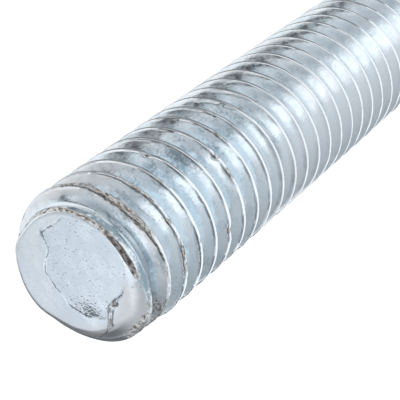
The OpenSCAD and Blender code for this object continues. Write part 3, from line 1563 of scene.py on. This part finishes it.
def neutral(level: float) -> Colour:
    """A colour without a tint, as bright as it says."""
    return (level, level, level, 1.0)


def start_material(name: str) -> tuple[bpy.types.Material, Graph]:
    """Makes a material that is still empty.

    Args:
        name: Its name.

    Returns:
        The material and its node tree.
    """
    material = bpy.data.materials.new(name)
    material.use_nodes = True
    return material, Graph(material.node_tree)


# ---------------------------------------------------------------- effects


# Torn steel from its pits to its painted glints, where it is brown and where it is burnt
TORN_BROWN_AND_GLINTS: Stops = ((0.0, (0.13, 0.115, 0.10)), (0.3, (0.42, 0.39, 0.36)), (0.55, (0.72, 0.70, 0.67)),
                     (0.8, (0.88, 0.87, 0.86)), (1.0, (0.97, 0.97, 0.96)))
TORN_BLACK: Stops = ((0.0, (0.012, 0.010, 0.010)), (0.6, (0.06, 0.05, 0.045)), (1.0, (0.26, 0.24, 0.22)))


class Effects:
    """The shader effects that the rod's finishes share, each a node group that is made once."""

    def __init__(self) -> None:
        """Makes the groups."""
        self.clouds = self.make(
            "plating_clouds", {"Place": "Vector", "Size": "Float", "Contrast": "Float"},
            {"Tone": "Float", "Warmth": "Float", "Haze": "Float"}, self.wire_clouds)
        self.torn_steel = self.make(
            "torn_steel", {"Place": "Vector", "Torn": "Float", "Burnt": "Float"},
            {"Color": "Color", "Mask": "Float", "Height": "Float"}, self.wire_torn_steel)
        self.mottle = self.make(
            "dark_mottle", {"Place": "Vector", "Size": "Float", "Amount": "Float"},
            {"Mask": "Float"}, self.wire_mottle)
        self.grain = self.make(
            "plating_grain", {"Place": "Vector", "Size": "Float", "Crowd": "Float"},
            {"Specks": "Float", "Height": "Float"}, self.wire_grain)

    def make(self, name: str, inputs: dict[str, str], outputs: dict[str, str],
             wire: Callable[[Graph, bpy.types.Node, bpy.types.Node], None]) -> bpy.types.NodeTree:
        """Makes one group.

        Args:
            name: The group's name.
            inputs: Kind of each input, by name.
            outputs: Kind of each output, by name.
            wire: Adds the nodes between the group's input and output nodes.

        Returns:
            The group.
        """
        tree = bpy.data.node_groups.new(name, "ShaderNodeTree")
        for way, sockets in (("INPUT", inputs), ("OUTPUT", outputs)):
            for socket, kind in sockets.items():
                tree.interface.new_socket(socket, in_out=way, socket_type="NodeSocket" + kind)
        graph = Graph(tree)
        wire(graph, graph.add("NodeGroupInput"), graph.add("NodeGroupOutput"))
        return tree

    def scaled(self, graph: Graph, entry: bpy.types.Node) -> Feed:
        """Measures a group's place in units of its size.

        Args:
            graph: The group's nodes.
            entry: Its input node.

        Returns:
            The place.
        """
        per = graph.math("DIVIDE", 1.0, entry.outputs["Size"])
        return graph.vector("SCALE", entry.outputs["Place"], per)

    def wire_clouds(self, graph: Graph, entry: bpy.types.Node, leave: bpy.types.Node) -> None:
        """Soft patches in which plating is lighter or darker, warmer or bluer, and hazier.

        Args:
            graph: The group's nodes.
            entry: Its input node.
            leave: Its output node.
        """
        place = self.scaled(graph, entry)
        tone = graph.noise(place, size=1.0, detail=5.0, rough=0.62)
        spread = graph.math("MULTIPLY", graph.math("SUBTRACT", tone, 0.5), entry.outputs["Contrast"])
        graph.feed(leave, {"Tone": graph.math("ADD", spread, 0.5, clamp=True)})
        moved = graph.vector("ADD", place, (7.3, 2.1, 5.7))
        warmth = graph.noise(moved, size=1.6, detail=3.0)
        graph.feed(leave, {"Warmth": graph.between(warmth, low=0.38, high=0.68)})
        haze = graph.noise(moved, size=0.35, detail=4.0)
        graph.feed(leave, {"Haze": graph.between(haze, low=0.3, high=0.7)})

    def wire_torn_steel(self, graph: Graph, entry: bpy.types.Node, leave: bpy.types.Node) -> None:
        """Torn steel under thin plating, drawn out in brown and grey threads, with bright glints painted into
        its palest colours.

        Args:
            graph: The group's nodes.
            entry: Its input node.
            leave: Its output node.
        """
        grain = graph.noise(entry.outputs["Place"], size=0.075, detail=3.0, rough=0.65)
        spread = graph.between(grain, low=0.34, high=0.67)
        # The near-white palest stops of this ramp are painted glints
        brown = graph.ramp(spread, TORN_BROWN_AND_GLINTS)
        black = graph.ramp(spread, TORN_BLACK)
        graph.feed(leave, {"Color": graph.mix(entry.outputs["Burnt"], brown, black)})
        patchy = graph.noise(entry.outputs["Place"], size=0.22, detail=2.0)
        eaten = graph.math("MULTIPLY", graph.math("ADD", patchy, grain), 0.5)
        reach = graph.math("SUBTRACT", graph.math("MULTIPLY", entry.outputs["Torn"], 1.15), eaten)
        cover = graph.math("MAXIMUM", graph.between(reach, low=-0.12, high=0.22), entry.outputs["Burnt"])
        graph.feed(leave, {"Mask": cover, "Height": graph.math("MULTIPLY", spread, cover)})

    def wire_mottle(self, graph: Graph, entry: bpy.types.Node, leave: bpy.types.Node) -> None:
        """Dark blue mottling in clouds of small spots.

        Args:
            graph: The group's nodes.
            entry: Its input node.
            leave: Its output node.
        """
        place = self.scaled(graph, entry)
        crowd = graph.noise(place, size=1.0, detail=2.0)
        spots = graph.noise(place, size=0.13, detail=3.0, rough=0.6)
        both = graph.math("ADD", graph.math("MULTIPLY", crowd, 0.6), graph.math("MULTIPLY", spots, 0.4))
        reach = graph.math("ADD", both, graph.math("MULTIPLY", entry.outputs["Amount"], 0.06))
        mask = graph.math("MULTIPLY", graph.between(reach, low=0.52, high=0.68), entry.outputs["Amount"])
        graph.feed(leave, {"Mask": mask})

    def wire_grain(self, graph: Graph, entry: bpy.types.Node, leave: bpy.types.Node) -> None:
        """Fine grain of the plating, with scattered dark specks.

        Args:
            graph: The group's nodes.
            entry: Its input node.
            leave: Its output node.
        """
        place = self.scaled(graph, entry)
        graph.feed(leave, {"Height": graph.noise(place, size=1.0, detail=3.0, rough=0.6)})
        speck = graph.noise(place, size=0.8, detail=2.0, rough=0.4)
        reach = graph.math("ADD", speck, graph.math("MULTIPLY", entry.outputs["Crowd"], 0.16))
        graph.feed(leave, {"Specks": graph.between(reach, low=0.74, high=0.84, first=0.0, last=0.9)})


# ---------------------------------------------------------------- finishes


@dataclass(frozen=True)
class PlatedZinc:
    """Bright zinc plating over steel, with its torn places.

    Attributes:
        name: The material's name.
        blue: Its colour where it is bluest.
        pale: Its colour where it is palest.
        warm: Its colour where it is warmest.
        warm_rolled: How warm it can be where it is rolled.
        warm_hazy: How warm it is where it is dull.
        bare: Its colour where it is bare and bright, and where a sheen is painted paler.
        stain_and_shade: Its colour in cracks and specks, and where shade and dark reflections are painted.
        stain_and_shade_strong: How much of the plating stains and painted shade hide.
        stain_deep: Depth of stains and painted shade.
        mottle: Its colour where it is mottled.
        mottle_size: Size of the clouds of spots in its mottling.
        cloud: Size of its patches.
        contrast: How strongly they differ.
        gloss: Roughness where it is clear and where it is hazy.
        hazy_rough: How much rougher it is where it is dull.
        grain: Size of its grain.
        grain_deep: Depth of its grain.
        slant: The way in which its grain is drawn out, in degrees from the X axis.
        squeeze: How much finer its grain is that way, across it, and along the rod.
        threads: How much finer the threads of torn steel are around the rod, and along it.
        torn_rough: How much rougher torn steel is.
        torn_dull: How much less metallic it looks.
        torn_high: Height of its threads.
        crack_ragged: How far the cracks wander to both sides of their edges.
        crack_wide: Half the width of a crack where it is thinnest and where it is widest.
    """

    name: str
    blue: Colour = (0.65, 0.76, 0.835, 1.0)
    pale: Colour = (0.80, 0.89, 0.95, 1.0)
    warm: Colour = (0.86, 0.865, 0.885, 1.0)
    warm_rolled: float = 0.5
    warm_hazy: float = 0.75
    bare: Colour = (0.88, 0.93, 0.97, 1.0)
    # Dark colour of cracks and specks, also used where shade and dark reflections are painted
    stain_and_shade: Colour = (0.055, 0.065, 0.075, 1.0)
    stain_and_shade_strong: float = 0.92
    stain_deep: float = 0.01
    mottle: Colour = (0.26, 0.34, 0.39, 1.0)
    mottle_size: float = 1.0
    cloud: float = 1.1
    contrast: float = 1.9
    gloss: tuple[float, float] = (0.16, 0.32)
    hazy_rough: float = 0.22
    grain: float = 0.10
    grain_deep: float = 0.006
    slant: float = 0.0
    squeeze: tuple[float, float, float] = (1.0, 1.0, 1.0)
    threads: tuple[float, float, float] = (0.45, 0.45, 1.4)
    torn_rough: float = 0.25
    torn_dull: float = 0.75
    torn_high: float = 0.02
    crack_ragged: float = 0.16
    crack_wide: tuple[float, float] = (0.016, 0.042)

    def make(self, effects: Effects) -> bpy.types.Material:
        """Makes the material.

        Args:
            effects: The shared node groups.

        Returns:
            The material.
        """
        material, graph = start_material(self.name)
        spot = graph.add("ShaderNodeTexCoord").outputs["Object"]
        place = graph.vector("SCALE", spot, 1.0 / MM)
        turned = graph.add("ShaderNodeVectorRotate", {"Vector": place, "Angle": -math.radians(self.slant)},
                           rotation_type="Z_AXIS").outputs[0]
        drawn = graph.vector("MULTIPLY", turned, self.squeeze)
        mask = {name: graph.mask(name) for name in
                ("torn", "dark", "burnt", "bare_and_painted_sheen", "rolled", "specked", "mottled", "hazy")}
        along = graph.vector("MULTIPLY", place, self.threads)
        clouds = graph.group(effects.clouds, {"Place": drawn, "Size": self.cloud, "Contrast": self.contrast})
        grain = graph.group(effects.grain, {"Place": drawn, "Size": self.grain, "Crowd": mask["specked"]})
        torn = graph.group(effects.torn_steel, {"Place": along, "Torn": mask["torn"], "Burnt": mask["burnt"]})
        mottle = graph.group(effects.mottle, {"Place": drawn, "Size": self.mottle_size,
                                              "Amount": mask["mottled"]})
        colour = graph.mix(clouds["Tone"], self.blue, self.pale)
        warm = graph.math("MULTIPLY", mask["rolled"], self.warm_rolled)
        warm = graph.math("MULTIPLY", clouds["Warmth"], warm)
        warm = graph.math("MAXIMUM", warm, graph.math("MULTIPLY", mask["hazy"], self.warm_hazy))
        colour = graph.mix(warm, colour, self.warm)
        colour = graph.mix(mottle["Mask"], colour, self.mottle)
        # Bare bright metal, and the painted sheen of the far turns
        colour = graph.mix(mask["bare_and_painted_sheen"], colour, self.bare)
        colour = graph.mix(torn["Mask"], colour, torn["Color"])
        cracks = self.cracks(graph, place)
        # Specks, cracks and the dark mask, which holds real marks as well as painted shade and reflections
        stained_and_shaded = graph.math("MAXIMUM", grain["Specks"], graph.math("MAXIMUM", cracks, mask["dark"]))
        colour = graph.mix(graph.math("MULTIPLY", stained_and_shaded, self.stain_and_shade_strong), colour, self.stain_and_shade)
        rough = graph.between(clouds["Haze"], 0.0, 1.0, *self.gloss)
        rough = graph.math("ADD", rough, graph.math("MULTIPLY", torn["Mask"], self.torn_rough))
        rough = graph.math("ADD", rough, graph.math("MULTIPLY", mask["hazy"], self.hazy_rough))
        metal = graph.math("SUBTRACT", 1.0, graph.math("MULTIPLY", torn["Mask"], self.torn_dull))
        height = graph.math("MULTIPLY", grain["Height"], self.grain_deep)
        height = graph.math("ADD", height, graph.math("MULTIPLY", torn["Height"], self.torn_high))
        height = graph.math("SUBTRACT", height, graph.math("MULTIPLY", stained_and_shaded, self.stain_deep))
        bump = graph.add("ShaderNodeBump", {"Height": height, "Strength": 1.0, "Distance": MM})
        shader = graph.add("ShaderNodeBsdfPrincipled", {
            "Base Color": colour, "Roughness": rough, "Metallic": metal, "Normal": bump.outputs[0]})
        graph.add("ShaderNodeOutputMaterial", {0: shader.outputs[0]})
        return material

    def cracks(self, graph: Graph, place: Feed) -> Feed:
        """Thin ragged cracks along the edges of the folds.

        Args:
            graph: The material's nodes.
            place: Position in millimetres.

        Returns:
            How much of a crack each place is.
        """
        wander = graph.math("SUBTRACT", graph.noise(place, size=0.09, detail=3.0, rough=0.6), 0.5)
        wander = graph.math("MULTIPLY", wander, self.crack_ragged)
        wide = graph.between(graph.noise(place, size=0.25, detail=2.0), 0.35, 0.65, *self.crack_wide)
        found = []
        for edge in CRACKED_EDGES:
            away, opened = graph.mask("gap_" + edge), graph.mask("open_" + edge)
            near = graph.math("ABSOLUTE", graph.math("ADD", away, wander))
            share = graph.math("SUBTRACT", 1.0, graph.math("DIVIDE", near, wide), clamp=True)
            found.append(graph.math("MULTIPLY", graph.between(share, low=0.0, high=0.5), opened))
        return graph.math("MAXIMUM", graph.math("MAXIMUM", *found[:2]), found[2])


ROD_FINISHES = {
    Area.THREAD: PlatedZinc("thread_zinc", gloss=(0.13, 0.26), grain_deep=0.0035, squeeze=(1.0, 1.0, 1.6)),
    Area.TOP_FACE: PlatedZinc(
        "sheared_zinc", blue=(0.69, 0.77, 0.875, 1.0), pale=(0.83, 0.90, 0.945, 1.0),
        warm=(0.77, 0.755, 0.735, 1.0), cloud=1.8, contrast=0.9, gloss=(0.24, 0.34), grain=0.07,
        grain_deep=0.004, slant=34.0, squeeze=(0.52, 1.15, 1.0)),
    Area.FOOT_FACE: PlatedZinc("foot_zinc", cloud=1.6, contrast=1.0, grain=0.12),
}


@dataclass(frozen=True)
class FloorPaper:
    """White paper that stays white behind the rod and in what the metal mirrors.

    Attributes:
        white: The paper's colour.
        glow: How much light of its own the camera and mirrors see in it.
    """

    white: Colour = (0.90, 0.90, 0.90, 1.0)
    glow: float = 0.42

    def make(self) -> bpy.types.Material:
        """Makes the material.

        Returns:
            The material.
        """
        material, graph = start_material("floor_paper")
        path = graph.add("ShaderNodeLightPath").outputs
        seen = graph.math("ADD", path["Is Camera Ray"], path["Is Glossy Ray"], clamp=True)
        glow = graph.mix(seen, BLACK, neutral(self.glow))
        shader = graph.add("ShaderNodeBsdfPrincipled", {
            "Base Color": self.white, "Roughness": MATT, "Emission Color": glow, "Emission Strength": 1.0})
        graph.add("ShaderNodeOutputMaterial", {0: shader.outputs[0]})
        return material


# ---------------------------------------------------------------- studio


@dataclass(frozen=True)
class Card:
    """A matt grey card beside the rod, which only the metal sees.

    Attributes:
        name: Its name, and its material's.
        place: Its middle, in metres.
        size: Its width and height, in metres.
        tilt: Its angle from lying flat, in degrees.
        grey: How pale it is.
    """

    name: str
    place: tuple[float, float, float]
    size: tuple[float, float]
    tilt: float
    grey: float

    def build(self) -> None:
        """Sets up the card."""
        lean = (math.radians(self.tilt), 0.0, 0.0)
        bpy.ops.mesh.primitive_plane_add(size=1.0, location=self.place, rotation=lean)
        card = bpy.context.object
        card.name = self.name
        card.scale = (*self.size, 1.0)
        card.visible_camera = False
        card.visible_shadow = False
        card.visible_diffuse = False
        card.data.materials.append(self.make_grey())

    def make_grey(self) -> bpy.types.Material:
        """Makes its material.

        Returns:
            The material.
        """
        material, graph = start_material(self.name)
        shader = graph.add("ShaderNodeBsdfPrincipled", {
            "Base Color": neutral(self.grey), "Roughness": MATT})
        graph.add("ShaderNodeOutputMaterial", {0: shader.outputs[0]})
        return material


@dataclass(frozen=True)
class CloseUp:
    """The camera, close to the top end and rolled, so that the rod leaves at a slant.

    Attributes:
        lens: Its focal length.
        sensor: Width of its sensor.
        nearest: The shortest distance at which it sees, in metres.
        aim: The place that it looks at.
        away: Its distance from there.
        tilt: How far down it looks, in degrees.
        roll: How far it is turned about the way it looks, in degrees.
    """

    lens: float = 120.435
    sensor: float = 36.0
    nearest: float = 0.001
    aim: tuple[float, float, float] = (-0.624, 0.0, 42.5605)
    away: float = 50.452
    tilt: float = 48.543
    roll: float = 128.877

    def build(self) -> None:
        """Sets up the camera and makes it the scene's."""
        scene = bpy.context.scene
        lens = bpy.data.cameras.new("close_up")
        lens.sensor_width = self.sensor
        lens.lens = self.lens
        lens.clip_start = self.nearest
        camera = bpy.data.objects.new("close_up", lens)
        scene.collection.objects.link(camera)
        tilt, roll = math.radians(self.tilt), math.radians(self.roll)
        look = Vector((0.0, math.cos(tilt), -math.sin(tilt)))
        up = Vector((0.0, math.sin(tilt), math.cos(tilt)))
        rolled = up * math.cos(roll) + look.cross(up) * math.sin(roll)
        pose = Matrix((look.cross(rolled), rolled, -look)).transposed().to_4x4()
        pose.translation = Vector(self.aim) * MM - look * self.away * MM
        camera.matrix_world = pose
        scene.camera = camera


@dataclass(frozen=True)
class Studio:
    """Floor, room, lamp, cards and camera.

    Attributes:
        ceiling: Brightness of the room overhead, by degrees from straight up towards +X.
        ceiling_cool: How blue the grey parts of the ceiling are.
        wall: Brightness of the walls.
        wall_top: Where the walls begin to pass into the ceiling and where they end, from 0 for level
            to 1 for straight up.
        floor_size: Width of the floor, in metres.
        lamp_size: Width and length of the long soft lamp overhead, in metres.
        lamp_height: Its height, in metres.
        lamp_shift: How far it stands from the rod towards -X, in metres.
        lamp_bright: Its brightness, where 1 is white paper.
        cards: The grey cards.
        camera: The camera.
    """

    ceiling: tuple[tuple[float, float], ...] = (
        (-90, 0.39), (-60, 0.41), (-47, 0.54), (-28, 0.72), (-19, 0.73), (-10, 0.70), (5, 0.66),
        (12, 0.53), (19, 0.50), (28, 0.63), (35, 0.85), (40, 0.85), (43.5, 0.05), (50, 0.05), (54, 1.1),
        (58, 1.05), (90, 1.05))
    ceiling_cool: float = 0.12
    wall: float = 1.0
    wall_top: tuple[float, float] = (0.10, 0.28)
    floor_size: float = 3.0
    lamp_size: tuple[float, float] = (0.36, 1.6)
    lamp_height: float = 0.8
    lamp_shift: float = 0.10
    lamp_bright: float = 0.55
    cards: tuple[Card, ...] = (
        Card("side_card", place=(0.066, 0.010, 0.001), size=(0.11, 0.11), tilt=0.0, grey=0.30),
        Card("back_card", place=(-0.06, 0.25, 0.045), size=(0.24, 0.09), tilt=90.0, grey=0.10),
        Card("far_card", place=(-0.03, 0.15, 0.001), size=(0.24, 0.19), tilt=0.0, grey=0.20))
    camera: CloseUp = CloseUp()

    def build(self) -> None:
        """Sets up everything."""
        self.build_room()
        self.build_floor()
        self.build_lamp()
        for card in self.cards:
            card.build()
        self.camera.build()
        bpy.context.scene.view_settings.view_transform = "Standard"
        log.info("studio: floor, room, lamp, %d cards and camera", len(self.cards))

    def build_room(self) -> None:
        """A room with white walls, whose ceiling is grey except for its sides."""
        world = bpy.data.worlds.new("room")
        bpy.context.scene.world = world
        world.use_nodes = True
        graph = Graph(world.node_tree)
        way = graph.add("ShaderNodeTexCoord").outputs["Generated"]
        x, _, z = graph.add("ShaderNodeSeparateXYZ", {0: way}).outputs
        side = graph.math("ARCTAN2", x, graph.math("MAXIMUM", z, 0.0))
        share = graph.math("ADD", graph.math("DIVIDE", side, math.pi), 0.5)
        stops = tuple((0.5 + angle / 180.0, self.shade(grey)) for angle, grey in self.ceiling)
        ceiling = graph.ramp(share, stops)
        room = graph.mix(graph.between(z, *self.wall_top), neutral(self.wall), ceiling)
        seen = graph.add("ShaderNodeLightPath").outputs["Is Camera Ray"]
        room = graph.mix(seen, room, WHITE)
        shade = graph.add("ShaderNodeBackground", {"Color": room, "Strength": 1.0})
        graph.add("ShaderNodeOutputWorld", {0: shade.outputs[0]})

    def shade(self, grey: float) -> tuple[float, float, float]:
        """Colour of a part of the ceiling, which is the bluer the nearer it is to middle grey."""
        cool = self.ceiling_cool * (1.0 - grey) * grey
        return (grey - cool, grey, grey + cool)

    def build_floor(self) -> None:
        """A large sheet of white paper."""
        bpy.ops.mesh.primitive_plane_add(size=self.floor_size)
        floor = bpy.context.object
        floor.name = "floor"
        floor.data.materials.append(FloorPaper().make())

    def build_lamp(self) -> None:
        """One long soft lamp overhead, along the front-to-back way."""
        lamp = bpy.data.lights.new("overhead", "AREA")
        lamp.shape = "RECTANGLE"
        lamp.size, lamp.size_y = self.lamp_size
        lamp.energy = self.lamp_bright * math.pi * self.lamp_size[0] * self.lamp_size[1]
        stand = bpy.data.objects.new("overhead", lamp)
        stand.location = (-self.lamp_shift, 0.0, self.lamp_height)
        bpy.context.scene.collection.objects.link(stand)


def main() -> None:
    """Builds the rod and the studio around it."""
    logging.basicConfig(level=logging.INFO, format="%(message)s")
    _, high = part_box("rod")
    rod = ThreadedRod(ThreadForm(crest_r=high.x / MM, length=high.z / MM))
    piece = rod.build()
    effects = Effects()
    rod.dress(piece, {area: finish.make(effects) for area, finish in ROD_FINISHES.items()})
    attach(piece, "root")
    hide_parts("rod")
    triangles = sum(len(face.vertices) - 2 for face in piece.data.polygons)
    log.info("%s: %d points, %d triangles", piece.name, len(piece.data.vertices), triangles)
    Studio().build()


if __name__ == "__main__":
    main()
